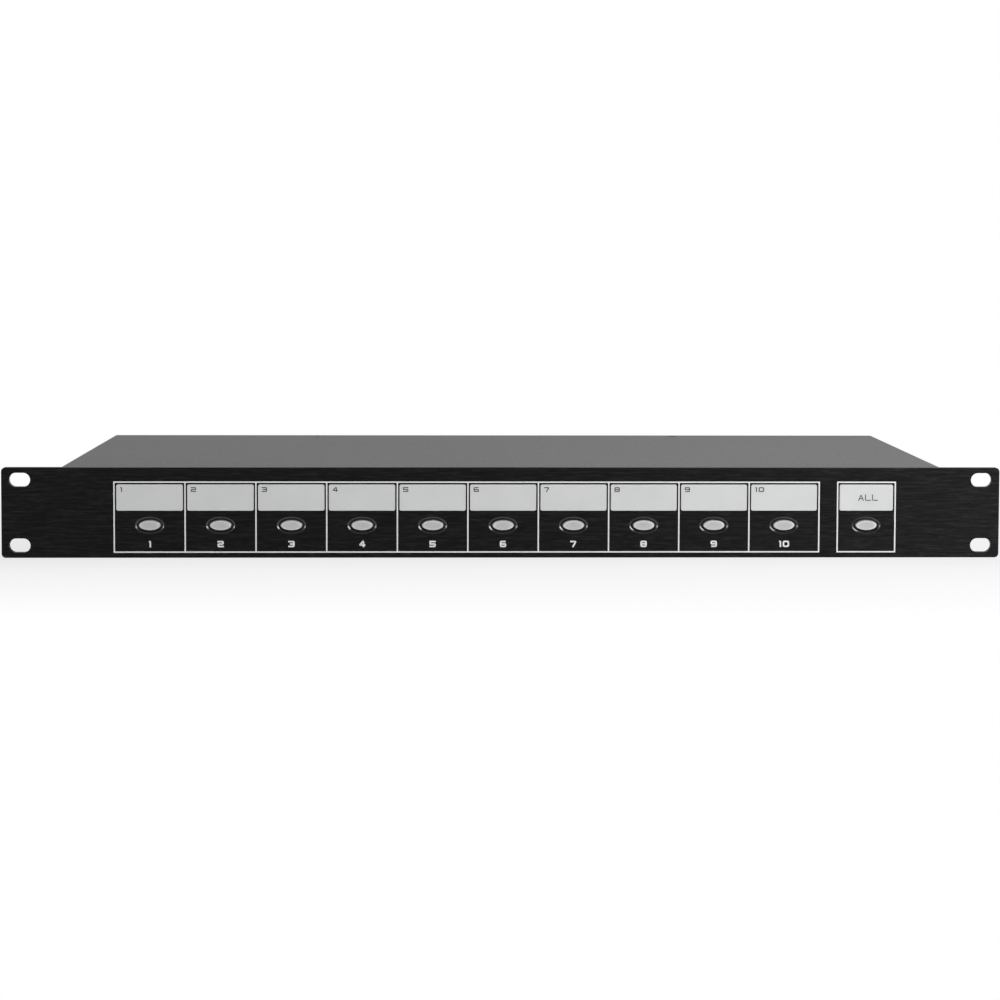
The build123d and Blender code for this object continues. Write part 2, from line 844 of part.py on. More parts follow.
def terminal_block(middle, width, poles):
    """Row of screw terminals, with a wire entry to the rear and a screw well on top of each pole."""
    top = main_board_top + terminal_height
    outline = make_face(Polyline(
        (terminal_front, main_board_top),
        (terminal_rear, main_board_top),
        (terminal_rear, main_board_top + terminal_step_height),
        (terminal_rear - terminal_top_slope, top),
        (terminal_front, top),
        close=True,
    ))
    body = across_x(outline, middle, width)
    entry_y = (terminal_rear - terminal_wire_depth, terminal_rear + overrun)
    entry_z = span(main_board_top + terminal_wire_centre_z, terminal_wire_height)
    well = Circle(terminal_screw_radius + terminal_screw_play)
    well_y = terminal_rear - terminal_screw_inset
    for x in pole_x(middle, poles):
        body -= block(span(x, terminal_wire_width), entry_y, entry_z)
        body -= upward(well, x, well_y, top - terminal_screw_well, top + overrun)
    return body


def zone_terminals():
    return group(terminal_block(x, zone_terminal_width, zone_terminal_poles) for x in zone_terminal_x)


def line_terminal():
    return terminal_block(line_terminal_x, line_terminal_width, line_terminal_poles)


def terminal_screws():
    y = terminal_rear - terminal_screw_inset
    bottom = main_board_top + terminal_height - terminal_screw_well
    top = bottom + terminal_screw_height
    slot = Box(2 * (terminal_screw_radius + overrun), terminal_slot_width, 2 * terminal_slot_depth)
    places = [x for middle in zone_terminal_x for x in pole_x(middle, zone_terminal_poles)]
    places += pole_x(line_terminal_x, line_terminal_poles)
    head = Circle(terminal_screw_radius)
    return group(upward(head, x, y, bottom, top) - Pos(x, y, top) * slot for x in places)


def earth_screw():
    screw = pan_screw(earth_length, earth_radius, earth_head_radius, earth_head_height)
    return Pos(earth_x, body_rear, earth_z) * Rot(X=-90) * screw


def earth_nut():
    ring = hexagon(earth_nut_across_flats) - Circle(earth_radius + thread_play)
    return along_y(ring, earth_x, earth_z, rear_inside - earth_nut_height, rear_inside)


# Ribbon cable between the boards. A header stands on Z zero, with its length along X.

def header():
    inner_length = plug_length + 2 * header_play
    inner_width = plug_width + 2 * header_play
    shroud = Rectangle(inner_length + 2 * header_wall, inner_width + 2 * header_wall)
    well = upward(Rectangle(inner_length, inner_width), 0, 0, header_floor, header_height + overrun)
    return upward(shroud, 0, 0, 0, header_height) - well


def plug():
    """Plug in its header. The ribbon enters a shallow notch on the side that faces -Y."""
    body = upward(Rectangle(plug_length, plug_width), 0, 0, header_floor, header_floor + plug_height)
    notch_y = (-plug_width / 2 - overrun, plug_ribbon_depth - plug_width / 2)
    notch_z = span(ribbon_level, ribbon_thickness + 2 * header_play)
    return body - block(span(0, ribbon_width + 2 * header_play), notch_y, notch_z)


def on_switch_board(piece):
    """Piece on the rear face of the switch board, with its ribbon side down."""
    return Location(to_rear(ribbon_x, switch_board_back, front_header_z)) * Rot(Z=180) * piece


def on_main_board(piece):
    return Pos(ribbon_x, main_header_y, main_board_top) * piece


def switch_board_header():
    return on_switch_board(header())


def main_board_header():
    return on_main_board(header())


def ribbon_plugs():
    return group([on_switch_board(plug()), on_main_board(plug())])


def ribbon_cable():
    """Flat cable from the plug behind the panel, down and back to the plug on the main board."""
    notch_end = plug_width / 2 - plug_ribbon_depth
    start_y = switch_board_back + ribbon_level
    level_z = main_board_top + ribbon_level
    route = FilletPolyline(
        (start_y, front_header_z - notch_end),
        (start_y, level_z),
        (main_header_y - notch_end, level_z),
        radius=ribbon_bend_radius,
    )
    return across_x(trace(route, ribbon_thickness), ribbon_x, ribbon_width)


def build():
    nodes = {
        "front_panel": front_panel(),
        "zone_labels": zone_labels(),
        "all_label": all_label(),
        "button_bezels": button_bezels(),
        "panel_studs": panel_studs(),
        "panel_nuts": panel_nuts(),
        "switch_housings": switch_housings(),
        "switch_domes": switch_domes(),
        "button_lamps": button_lamps(),
        "switch_board": switch_board(),
        "switch_board_spacers": switch_board_spacers(),
        "switch_board_screws": switch_board_screws(),
        "base_tray": base_tray(),
        "top_cover": top_cover(),
        "cover_side_screws": cover_side_screws(),
        "cover_rear_screws": cover_rear_screws(),
        "main_board": main_board(),
        "main_board_standoffs": main_board_standoffs(),
        "main_board_screws": main_board_screws(),
        "zone_relays": zone_relays(),
        "relay_drivers": relay_drivers(),
        "control_chip": control_chip(),
        "crystal": crystal(),
        "supply_capacitors": supply_capacitors(),
        "voltage_regulator": voltage_regulator(),
        "regulator_heat_sink": regulator_heat_sink(),
        "dc_inlet": dc_inlet(),
        "zone_terminals": zone_terminals(),
        "line_terminal": line_terminal(),
        "terminal_screws": terminal_screws(),
        "earth_screw": earth_screw(),
        "earth_nut": earth_nut(),
        "switch_board_header": switch_board_header(),
        "main_board_header": main_board_header(),
        "ribbon_plugs": ribbon_plugs(),
        "ribbon_cable": ribbon_cable(),
    }
    for name, x in zip(button_names, button_x):
        nodes[f"{name}_button"] = button_cap(x)
        nodes[f"{name}_plunger"] = plunger(x)
    return nodes


os.makedirs("parts", exist_ok=True)
for node, shape in build().items():
    export_step(shape, os.path.join("parts", f"{node}.step"))
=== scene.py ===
import json
import math

import bmesh
import bpy
from mathutils import Matrix, Vector


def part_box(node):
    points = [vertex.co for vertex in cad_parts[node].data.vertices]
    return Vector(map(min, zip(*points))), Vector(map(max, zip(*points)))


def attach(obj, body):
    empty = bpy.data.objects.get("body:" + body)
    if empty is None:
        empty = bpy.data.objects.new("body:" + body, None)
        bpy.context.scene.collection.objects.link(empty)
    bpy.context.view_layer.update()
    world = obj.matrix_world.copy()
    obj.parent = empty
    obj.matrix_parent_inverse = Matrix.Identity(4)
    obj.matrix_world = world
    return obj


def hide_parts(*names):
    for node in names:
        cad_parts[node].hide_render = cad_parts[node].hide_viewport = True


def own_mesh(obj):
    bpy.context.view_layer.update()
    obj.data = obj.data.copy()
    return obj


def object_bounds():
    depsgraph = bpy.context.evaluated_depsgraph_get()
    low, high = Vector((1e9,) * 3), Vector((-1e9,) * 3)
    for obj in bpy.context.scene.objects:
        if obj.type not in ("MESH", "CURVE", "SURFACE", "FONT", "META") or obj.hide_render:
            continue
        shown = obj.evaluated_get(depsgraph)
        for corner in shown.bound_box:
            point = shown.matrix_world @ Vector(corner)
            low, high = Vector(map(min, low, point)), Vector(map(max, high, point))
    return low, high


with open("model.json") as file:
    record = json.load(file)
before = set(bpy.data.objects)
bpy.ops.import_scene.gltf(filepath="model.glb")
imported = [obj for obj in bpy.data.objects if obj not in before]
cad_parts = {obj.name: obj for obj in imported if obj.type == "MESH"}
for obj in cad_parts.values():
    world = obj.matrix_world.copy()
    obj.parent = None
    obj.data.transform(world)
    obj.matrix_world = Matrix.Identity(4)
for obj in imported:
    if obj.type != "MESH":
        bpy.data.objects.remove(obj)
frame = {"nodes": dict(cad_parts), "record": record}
cad_low, cad_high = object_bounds()

# Lengths are in metres, in the frame of the part: X to the right seen from the front, Y to the rear, Z up.

# Camera: place, and angles to the right, down and of roll, in degrees
camera_place = (-0.026509, -1.126029, 0.152667)
camera_yaw = 1.376
camera_tilt = 2.8744
camera_roll = 0.1667
camera_lens = 77.5656
camera_sensor = 36.0
camera_shift = -0.15

# Studio: floor, lamps and world. The ceiling is the darker part of the backdrop, high up in front.
floor_size = 12.0
floor_gap = 0.0002
floor_fade = 0.16
floor_color = (0.82, 0.82, 0.82, 1.0)
floor_glow = 0.76
white = (1.0, 1.0, 1.0, 1.0)
backdrop_strength = 1.0
ceiling_strength = 0.18
ceiling_low = 0.36
ceiling_high = 0.6
ceiling_front = -0.35
ceiling_rear = 0.0
ambient_strength = 0.04
key_place = (0.80, -0.62, 0.36)
key_size = (0.5, 0.56)
key_power = 7.9
front_place = (0.6, -1.6, 0.5)
front_size = (0.55, 0.6)
front_power = 4.6
fill_place = (-0.98, -0.78, 0.18)
fill_size = (0.66, 0.32)
fill_power = 3.8
rear_place = (0.5, 0.9, 1.5)
rear_size = (0.8, 0.8)
rear_power = 8.0

# Strokes of print: coat, narrow characters, corners, and the way along Y that a print faces
print_thickness = 0.00002
narrow_shares = {"1": 0.5, "I": 0.4}
corner_share = 0.16
corner_steps = 4
mitre_limit_share = 0.35
toward_front = -1
toward_rear = 1

# Print on the front: cell frames, digits under the buttons, and marks and a word on the label fields
line_width = 0.00064
frame_top = 0.0367
frame_bottom = 0.0028
digit_height = 0.0031
digit_width = 0.0031
digit_gap = 0.0006
digit_stroke = 0.00075
digit_middle = 0.0067
mark_height = 0.0023
mark_width = 0.0026
mark_gap = 0.0006
mark_stroke = 0.00048
mark_inset_x = 0.0017
mark_inset_z = 0.0013
word_height = 0.00305
word_letter_width = 0.0029
word_gap = 0.0005
word_stroke = 0.00042
word_offset = 0.0008

# Print on the rear: zone numbers over their pairs of poles, polarity, supply and earth signs
pole_pitch = 0.00508
poles_per_zone = 2
zones_per_block = 5
sign_gap = 0.0016
sign_width = 0.0022
sign_height = 0.0026
sign_stroke = 0.00036
pair_width = 0.0086
pair_tick = 0.0009
block_end = 0.0008
line_signs = "+-+-"
symbol_width = 0.0042
bar_gap = 0.001
earth_bar_shares = (1.0, 0.62, 0.26)
supply_dashes = 3
supply_dash_share = 0.24

# Buttons, and the rubber domes of their switches
cap_flange = 0.001
dome_wall = 0.00035
dome_lip = 0.00015
dome_top_share = 0.543
dome_sides = 48
zone_count = 10
buttons = [f"zone_{i + 1}" for i in range(zone_count)] + ["all"]

# Range that most of a noise texture lies in
noise_low = 0.3
noise_high = 0.7


def middle_of(node):
    low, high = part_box(node)
    return (low + high) / 2


# Node trees

def add_node(tree, kind, inputs=None, **settings):
    """New node with its settings. Each input is a value, or a socket to join it to."""
    made = tree.nodes.new(kind)
    for name, value in settings.items():
        setattr(made, name, value)
    for name, value in (inputs or {}).items():
        if isinstance(value, bpy.types.NodeSocket):
            tree.links.new(value, made.inputs[name])
        else:
            made.inputs[name].default_value = value
    return made


def new_material(name, **sockets):
    """Material with its shader's constant sockets set. Returns it with its tree and shader.

    A socket's name has _ for each space, here and in join.
    """
    material = bpy.data.materials.new(name)
    material.use_nodes = True
    tree = material.node_tree
    shader = tree.nodes["Principled BSDF"]
    for socket, value in sockets.items():
        shader.inputs[socket.replace("_", " ")].default_value = value
    return material, tree, shader


def join(tree, shader, **sockets):
    """Join the outputs of nodes to the shader's sockets."""
    for socket, value in sockets.items():
        tree.links.new(value, shader.inputs[socket.replace("_", " ")])


def place(tree, scale=(1.0, 1.0, 1.0)):
    """Place on the part, stretched by a scale along each axis."""
    source = add_node(tree, "ShaderNodeTexCoord")
    mapping = add_node(tree, "ShaderNodeMapping", {"Vector": source.outputs["Object"], "Scale": scale})
    return mapping.outputs["Vector"]


def axis_of(tree, vector, axis):
    return add_node(tree, "ShaderNodeSeparateXYZ", {"Vector": vector}).outputs[axis]


def vector_math(tree, operation, first, second=(0.0, 0.0, 0.0)):
    inputs = {0: first, 1: second}
    return add_node(tree, "ShaderNodeVectorMath", inputs, operation=operation).outputs["Vector"]


def length_of(tree, vector):
    return add_node(tree, "ShaderNodeVectorMath", {0: vector}, operation="LENGTH").outputs["Value"]


def math_node(tree, operation, first, second=0.0):
    return add_node(tree, "ShaderNodeMath", {0: first, 1: second}, operation=operation).outputs[0]


def between(tree, value, low, high):
    """1 where a value lies between two limits, 0 elsewhere."""
    above = math_node(tree, "GREATER_THAN", value, low)
    return math_node(tree, "MULTIPLY", above, math_node(tree, "LESS_THAN", value, high))


def noise(tree, vector, scale=1.0, detail=2.0, roughness=0.5):
    inputs = {"Vector": vector, "Scale": scale, "Detail": detail, "Roughness": roughness}
    return add_node(tree, "ShaderNodeTexNoise", inputs).outputs["Fac"]


def cells(tree, scale, **settings):
    """Distance within a pattern of irregular cells."""
    inputs = {"Vector": place(tree), "Scale": scale}
    return add_node(tree, "ShaderNodeTexVoronoi", inputs, **settings).outputs["Distance"]


def ranged(tree, value, low, high, start=noise_low, end=noise_high):
    """Value from start to end, as a number from low to high."""
    inputs = {"Value": value, "From Min": start, "From Max": end, "To Min": low, "To Max": high}
    return add_node(tree, "ShaderNodeMapRange", inputs).outputs["Result"]


def ramp(tree, value, stops):
    """Colour of a value between stops, each a place and a colour."""
    made = add_node(tree, "ShaderNodeValToRGB", {"Fac": value})
    elements = made.color_ramp.elements
    while len(elements) < len(stops):
        elements.new(1.0)
    for element, (at, color) in zip(elements, stops):
        element.position = at
        element.color = (*color, 1.0)
    return made.outputs["Color"]


def toned(tree, value, dark, pale):
    """Colour that goes from dark to pale with a noise."""
    return ramp(tree, value, [(noise_low, dark), (noise_high, pale)])


def shade(color, factor):
    return tuple(channel * factor for channel in color)


def mixed(tree, factor, first, second):
    """Colour that goes from first to second with a factor. The numbers are those of the colour sockets."""
    inputs = {0: factor, 6: first, 7: second}
    return add_node(tree, "ShaderNodeMix", inputs, data_type="RGBA").outputs[2]


def bump(tree, height, distance, strength):
    inputs = {"Height": height, "Distance": distance, "Strength": strength}
    return add_node(tree, "ShaderNodeBump", inputs).outputs["Normal"]


# Finishes

def moulded(name, color, roughness=0.45, **sockets):
    """Moulded plastic: fine eroded grain, with a slight drift of tone and gloss."""
    material, tree, shader = new_material(name, **sockets)
    fine = noise(tree, place(tree), scale=900.0, detail=3.0)
    broad = noise(tree, place(tree), scale=30.0)
    join(
        tree,
        shader,
        Base_Color=toned(tree, broad, dark=shade(color, 0.88), pale=shade(color, 1.12)),
        Roughness=ranged(tree, fine, low=roughness - 0.06, high=roughness + 0.08),
        Normal=bump(tree, fine, distance=0.00003, strength=0.35),
    )
    return material


def plated(name, color, roughness):
    """Plated metal: faint clouding, fine scuffs and a soft variation of gloss."""
    material, tree, shader = new_material(name, Metallic=1.0)
    grain = 700.0
    cloud = noise(tree, place(tree), scale=grain / 6, detail=3.0)
    fine = noise(tree, place(tree), scale=grain * 2)
    join(
        tree,
        shader,
        Base_Color=toned(tree, cloud, dark=shade(color, 0.85), pale=shade(color, 1.1)),
        Roughness=ranged(tree, cloud, low=roughness - 0.08, high=roughness + 0.1),
        Normal=bump(tree, fine, distance=0.00002, strength=0.2),
    )
    return material


def brushed_panel():
    """Black anodised aluminium, brushed along its length."""
    material, tree, shader = new_material(
        "panel_black",
        Metallic=1.0,
        Anisotropic=0.75,
        Anisotropic_Rotation=0.25,
    )
    long_marks = noise(tree, place(tree, scale=(60.0, 1000.0, 1000.0)), roughness=0.6)
    short_marks = noise(tree, place(tree, scale=(190.0, 2200.0, 2200.0)), detail=3.0, roughness=0.6)
    marks = math_node(tree, "ADD", long_marks, short_marks)
    mean = math_node(tree, "MULTIPLY", marks, 0.5)
    tangent = add_node(tree, "ShaderNodeTangent", direction_type="RADIAL", axis="Z")
    join(
        tree,
        shader,
        Base_Color=ramp(tree, mean, [
            (0.36, (0.0090, 0.0090, 0.0092)),
            (0.50, (0.0141, 0.0141, 0.0144)),
            (0.64, (0.0282, 0.0282, 0.0287)),
        ]),
        Roughness=ranged(tree, marks, low=0.5, high=0.62, start=0.7, end=1.3),
        Tangent=tangent.outputs["Tangent"],
        Normal=bump(tree, marks, distance=0.00002, strength=0.3),
    )
    return material


def powder_coat():
    """Black powder coat with a fine leathery texture."""
    material, tree, shader = new_material("body_paint", Specular_IOR_Level=0.65)
    pebble = noise(tree, place(tree), scale=1100.0)
    broad = noise(tree, place(tree), scale=14.0, detail=3.0)
    join(
        tree,
        shader,
        Base_Color=toned(tree, broad, dark=(0.021, 0.021, 0.0215), pale=(0.028, 0.028, 0.029)),
        Roughness=ranged(tree, pebble, low=0.54, high=0.66),
        Normal=bump(tree, pebble, distance=0.00006, strength=0.3),
    )
    return material


def label_sheet():
    """Pale grey label plate with a satin face."""
    material, tree, shader = new_material("label_pale", Specular_IOR_Level=0.4)
    cloud = noise(tree, place(tree), scale=55.0, detail=3.0)
    fine = noise(tree, place(tree), scale=1500.0)
    join(
        tree,
        shader,
        Base_Color=toned(tree, cloud, dark=(0.600, 0.606, 0.606), pale=(0.630, 0.636, 0.634)),
        Roughness=ranged(tree, fine, low=0.42, high=0.52),
        Normal=bump(tree, fine, distance=0.00001, strength=0.25),
    )
    return material


def gloss_bezel():
    """Glossy black moulding with a trace of waviness."""
    material, tree, shader = new_material("bezel_black", Specular_IOR_Level=0.8)
    wave = noise(tree, place(tree), scale=420.0)
    join(
        tree,
        shader,
        Base_Color=toned(tree, wave, dark=(0.009, 0.009, 0.009), pale=(0.012, 0.012, 0.012)),
        Roughness=ranged(tree, wave, low=0.14, high=0.2),
        Normal=bump(tree, wave, distance=0.00001, strength=0.15),
    )
    return material


def lens_cap():
    """Translucent white lens; its colour is painted paler towards the rim, a painted highlight along its
    rounded edge.
    """
    cap_low, cap_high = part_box("zone_1_button")
    cap = cap_high - cap_low
    lens = Vector((cap.x - 2 * cap_flange, cap.z - 2 * cap_flange))
    stretch = Vector((cap.x / lens.x, 0.0, cap.z / lens.y))
    material, tree, shader = new_material(
        "cap_white",
        Subsurface_Weight=0.12,
        Subsurface_Scale=0.0006,
        Subsurface_Radius=(1.0, 1.0, 1.0),
    )
    source = add_node(tree, "ShaderNodeTexCoord")
    centred = add_node(tree, "ShaderNodeMapping", {
        "Vector": source.outputs["Generated"],
        "Location": -stretch,
        "Scale": stretch * 2,
    })
    cloud = noise(tree, place(tree), scale=600.0, detail=3.0)
    drift = math_node(tree, "MULTIPLY", cloud, 0.1)
    # Distance out from the lens's middle: the colour is painted paler towards the rim, a painted highlight
    # on its rounded edge.
    radius = math_node(tree, "ADD", length_of(tree, centred.outputs["Vector"]), drift)
    join(
        tree,
        shader,
        Base_Color=ramp(tree, radius, [
            (0.3, (0.475, 0.475, 0.47)),
            (0.75, (0.51, 0.51, 0.505)),
            (1.0, (0.66, 0.66, 0.655)),
        ]),
        Roughness=ranged(tree, cloud, low=0.26, high=0.36),
        Normal=bump(tree, cloud, distance=0.00001, strength=0.2),
    )
    return material


def ink(name, color):
    """Screen print: opaque ink with a slightly uneven coat."""
    material, tree, shader = new_material(name, Specular_IOR_Level=0.35)
    coat = noise(tree, place(tree), scale=2200.0)
    join(
        tree,
        shader,
        Base_Color=toned(tree, coat, dark=shade(color, 0.92), pale=shade(color, 1.03)),
        Roughness=ranged(tree, coat, low=0.45, high=0.58),
        Normal=bump(tree, coat, distance=0.000004, strength=0.3),
    )
    return material


def circuit_board():
    """Green solder mask over copper tracks, with small plated holes."""
    track_green = (0.03, 0.20, 0.08)
    mask_green = (0.012, 0.095, 0.04)
    hole_metal = (0.55, 0.45, 0.25, 1.0)
    material, tree, shader = new_material("board_green", Specular_IOR_Level=0.5)
    tracks = cells(tree, scale=190.0, feature="DISTANCE_TO_EDGE")
    holes = cells(tree, scale=260.0, distance="CHEBYCHEV")
    mask = ramp(tree, tracks, [(0.05, track_green), (0.09, mask_green)])
    plating = ranged(tree, holes, low=1.0, high=0.0, start=0.10, end=0.12)
    join(
        tree,
        shader,
        Base_Color=mixed(tree, plating, mask, hole_metal),
        Roughness=ranged(tree, holes, low=0.25, high=0.4, start=0.1, end=0.4),
        Normal=bump(tree, tracks, distance=0.00004, strength=0.3),
    )
    return material


def legged(name, color, metal, inside, roughness=0.5):
    """Moulded body with plated legs. Inside is 1 on the body and 0 on its metal."""
    material, tree, shader = new_material(name)
    body = inside(tree)
    fine = noise(tree, place(tree), scale=1300.0, detail=3.0)
    plastic = toned(tree, fine, dark=shade(color, 0.85), pale=shade(color, 1.15))
    tin = toned(tree, fine, dark=shade(metal, 0.88), pale=shade(metal, 1.08))
    join(
        tree,
        shader,
        Base_Color=mixed(tree, body, tin, plastic),
        Metallic=math_node(tree, "SUBTRACT", 1.0, body),
        Roughness=ranged(tree, fine, low=roughness - 0.1, high=roughness + 0.1),
        Normal=bump(tree, fine, distance=0.00002, strength=0.3),
    )
    return material


def chip_finish():
    """Black chip with plated legs on its front and rear side."""
    leg_thickness = 0.00031
    low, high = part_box("control_chip")

    def inside(tree):
        y = axis_of(tree, place(tree), "Y")
        return between(tree, y, low.y + leg_thickness, high.y - leg_thickness)

    return legged("chip_black", (0.02, 0.02, 0.021), (0.62, 0.62, 0.6), inside)


def regulator_finish():
    """Black regulator with plated legs under it and a metal tab above."""
    leg_height = 0.00401
    tab_height = 0.00639
    low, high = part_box("voltage_regulator")

    def inside(tree):
        z = axis_of(tree, place(tree), "Z")
        return between(tree, z, low.z + leg_height, high.z - tab_height)

    return legged("regulator", (0.02, 0.02, 0.021), (0.6, 0.6, 0.58), inside)


def inlet_finish():
    """Black jack with a plated centre pin along Y."""
    pin_radius = 0.0011
    across_pin = (1.0, 0.0, 1.0)

    def inside(tree):
        centred = vector_math(tree, "SUBTRACT", place(tree), tuple(middle_of("dc_inlet")))
        radius = length_of(tree, vector_math(tree, "MULTIPLY", centred, across_pin))
        return math_node(tree, "GREATER_THAN", radius, pin_radius)

    return legged("inlet", (0.018, 0.018, 0.018), (0.65, 0.62, 0.55), inside, roughness=0.4)


def capacitor_finish():
    """Dark sleeve with a pale stripe on its front, and a bare aluminium top."""
    top_slope = 0.6
    stripe_slope = -0.9
    stripe_grey = (0.45, 0.46, 0.48, 1.0)
    bare_metal = (0.62, 0.62, 0.62, 1.0)
    material, tree, shader = new_material("capacitor_sleeve")
    normal = add_node(tree, "ShaderNodeTexCoord").outputs["Normal"]
    top = math_node(tree, "GREATER_THAN", axis_of(tree, normal, "Z"), top_slope)
    stripe = math_node(tree, "LESS_THAN", axis_of(tree, normal, "Y"), stripe_slope)
    fine = noise(tree, place(tree), scale=900.0, detail=3.0)
    sleeve = toned(tree, fine, dark=(0.012, 0.016, 0.035), pale=(0.017, 0.022, 0.046))
    banded = mixed(tree, stripe, sleeve, stripe_grey)
    join(
        tree,
        shader,
        Base_Color=mixed(tree, top, banded, bare_metal),
        Metallic=top,
        Roughness=ranged(tree, fine, low=0.22, high=0.36),
        Normal=bump(tree, fine, distance=0.00001, strength=0.2),
    )
    return material


def sink_finish():
    """Black anodised extrusion, drawn along its height."""
    material, tree, shader = new_material("sink_aluminium", Metallic=1.0)
    lines = noise(tree, place(tree, scale=(1800.0, 1800.0, 12.0)), detail=3.0)
    join(
        tree,
        shader,
        Base_Color=toned(tree, lines, dark=(0.018, 0.018, 0.019), pale=(0.045, 0.045, 0.047)),
        Roughness=ranged(tree, lines, low=0.35, high=0.5),
        Normal=bump(tree, lines, distance=0.00002, strength=0.3),
    )
    return material


def ribbon_finish():
    """Grey flat cable: a ridge over each core, and a red core at one edge."""
    core_pitch = 0.00127
    first_core_red = (0.45, 0.03, 0.03, 1.0)
    edge_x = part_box("ribbon_cable")[0].x
    material, tree, shader = new_material("ribbon_grey")
    across = math_node(tree, "SUBTRACT", axis_of(tree, place(tree), "X"), edge_x)
    turns = math_node(tree, "MULTIPLY", across, 2 * math.pi / core_pitch)
    ridge = math_node(tree, "COSINE", turns)
    fine = noise(tree, place(tree), scale=700.0)
    grey = toned(tree, fine, dark=(0.36, 0.36, 0.36), pale=(0.43, 0.43, 0.43))
    first = math_node(tree, "LESS_THAN", across, core_pitch)
    join(
        tree,
        shader,
        Base_Color=mixed(tree, first, grey, first_core_red),
        Roughness=ranged(tree, fine, low=0.42, high=0.55),
        Normal=bump(tree, ridge, distance=-0.0002, strength=0.6),
    )
    return material


finishes = {
    "panel_black": brushed_panel(),
    "label_pale": label_sheet(),
    "bezel_black": gloss_bezel(),
    "cap_white": lens_cap(),
    "plunger_black": moulded("plunger_black", (0.03, 0.03, 0.03)),
    "switch_plastic": moulded("switch_plastic", (0.05, 0.05, 0.05), roughness=0.5),
    "dome_rubber": moulded("dome_rubber", (0.35, 0.35, 0.34), roughness=0.7),
    "lamp_clear": moulded("lamp_clear", (0.75, 0.74, 0.68), roughness=0.18, Transmission_Weight=0.6),
    "board_green": circuit_board(),
    "brass": plated("brass", (0.70, 0.50, 0.22), roughness=0.28),
    "steel": plated("steel", (0.56, 0.57, 0.58), roughness=0.32),
    "screw_black": plated("screw_black", (0.03, 0.03, 0.031), roughness=0.52),
    "body_paint": powder_coat(),
    "relay_plastic": moulded("relay_plastic", (0.04, 0.04, 0.045), roughness=0.4),
    "chip_black": chip_finish(),
    "can_steel": plated("can_steel", (0.62, 0.62, 0.62), roughness=0.25),
    "capacitor_sleeve": capacitor_finish(),
    "sink_aluminium": sink_finish(),
    "connector_black": moulded("connector_black", (0.02, 0.02, 0.02), roughness=0.42),
    "terminal_green": moulded("terminal_green", (0.03, 0.22, 0.09), roughness=0.4),
    "ribbon_grey": ribbon_finish(),
}
own_finishes = {
    "voltage_regulator": regulator_finish(),
    "dc_inlet": inlet_finish(),
}
for subpart in frame["record"]["subparts"]:
    node = subpart["node"]
    mesh = frame["nodes"][node].data
    mesh.materials.clear()
    mesh.materials.append(own_finishes.get(node) or finishes[subpart["material_slot"]])


# Pieces made here

def add_piece(name, points, faces, material):
    """Closed mesh that rides on the chassis, with its faces turned outwards."""
    mesh = bpy.data.meshes.new(name)
    mesh.from_pydata(points, [], faces)
    mesh.validate()
    shape = bmesh.new()
    shape.from_mesh(mesh)
    bmesh.ops.recalc_face_normals(shape, faces=shape.faces)
    shape.to_mesh(mesh)
    shape.free()
    mesh.materials.append(material)
    made = bpy.data.objects.new(name, mesh)
    bpy.context.scene.collection.objects.link(made)
    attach(made, "chassis")
    return made


def add_dome(button):
    """Hollow rubber cone on the floor of a switch."""
    low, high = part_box("switch_domes")
    x = middle_of(f"{button}_button").x
    z = (low.z + high.z) / 2
    base = (high.z - low.z) / 2
    top = base * dome_top_share
    rings = [
        (base, high.y),
        (base, high.y - dome_lip),
        (top, low.y + dome_lip),
        (top - dome_lip, low.y),
        (top - dome_wall, low.y + dome_wall),
        (base - dome_wall, high.y),
    ]
    outside_top, inside_top = 3, 4
    points = []
    for radius, y in rings:
        for i in range(dome_sides):
            angle = 2 * math.pi * i / dome_sides
            points.append((x + radius * math.cos(angle), y, z + radius * math.sin(angle)))
    faces = []
    for ring in (outside_top, inside_top):
        first = ring * dome_sides
        faces.append(tuple(range(first, first + dome_sides)))
    for ring in range(len(rings)):
        if ring == outside_top:
            continue
        after = (ring + 1) % len(rings)
        for i in range(dome_sides):
            j = (i + 1) % dome_sides
            a, b = ring * dome_sides, after * dome_sides
            faces.append((a + i, a + j, b + j, b + i))
    dome = add_piece(f"{button}_dome", points, faces, finishes["dome_rubber"])
    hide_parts("switch_domes")
    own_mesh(dome)


for button in buttons:
    add_dome(button)


# Print, drawn as strokes

def rounded(points, radius, closed):
    """Polyline with each corner rounded by an arc-like curve."""
    count = len(points)
    result = []
    for i, corner in enumerate(points):
        if not closed and i in (0, count - 1):
            result.append(corner)
            continue
        before = points[i - 1]
        after = points[(i + 1) % count]
        reach = min(radius, (before - corner).length / 2, (after - corner).length / 2)
        start = corner + (before - corner).normalized() * reach
        end = corner + (after - corner).normalized() * reach
        for step in range(corner_steps + 1):
            t = step / corner_steps
            result.append(start * (1 - t) ** 2 + corner * 2 * t * (1 - t) + end * t ** 2)
    return result


def ribbon_edges(points, width, closed):
    """Left and right edge of a stroke along a polyline, with mitred corners."""
    count = len(points)
    left, right = [], []
    for i, point in enumerate(points):
        before = points[i - 1] if closed or i > 0 else None
        after = points[(i + 1) % count] if closed or i < count - 1 else None
        into = (point - before).normalized() if before is not None else (after - point).normalized()
        out = (after - point).normalized() if after is not None else into
        side_in = Vector((-into.y, into.x))
        side_out = Vector((-out.y, out.x))
        mitre = (side_in + side_out).normalized()
        reach = width / 2 / max(mitre.dot(side_in), mitre_limit_share)
        left.append(point + mitre * reach)
        right.append(point - mitre * reach)
    return left, right


def character_widths(text, width):
    """Width of each character, where some are narrower than the rest."""
    return [width * narrow_shares.get(character, 1.0) for character in text]


def row_width(text, width, gap):
    return sum(character_widths(text, width)) + gap * (len(text) - 1)


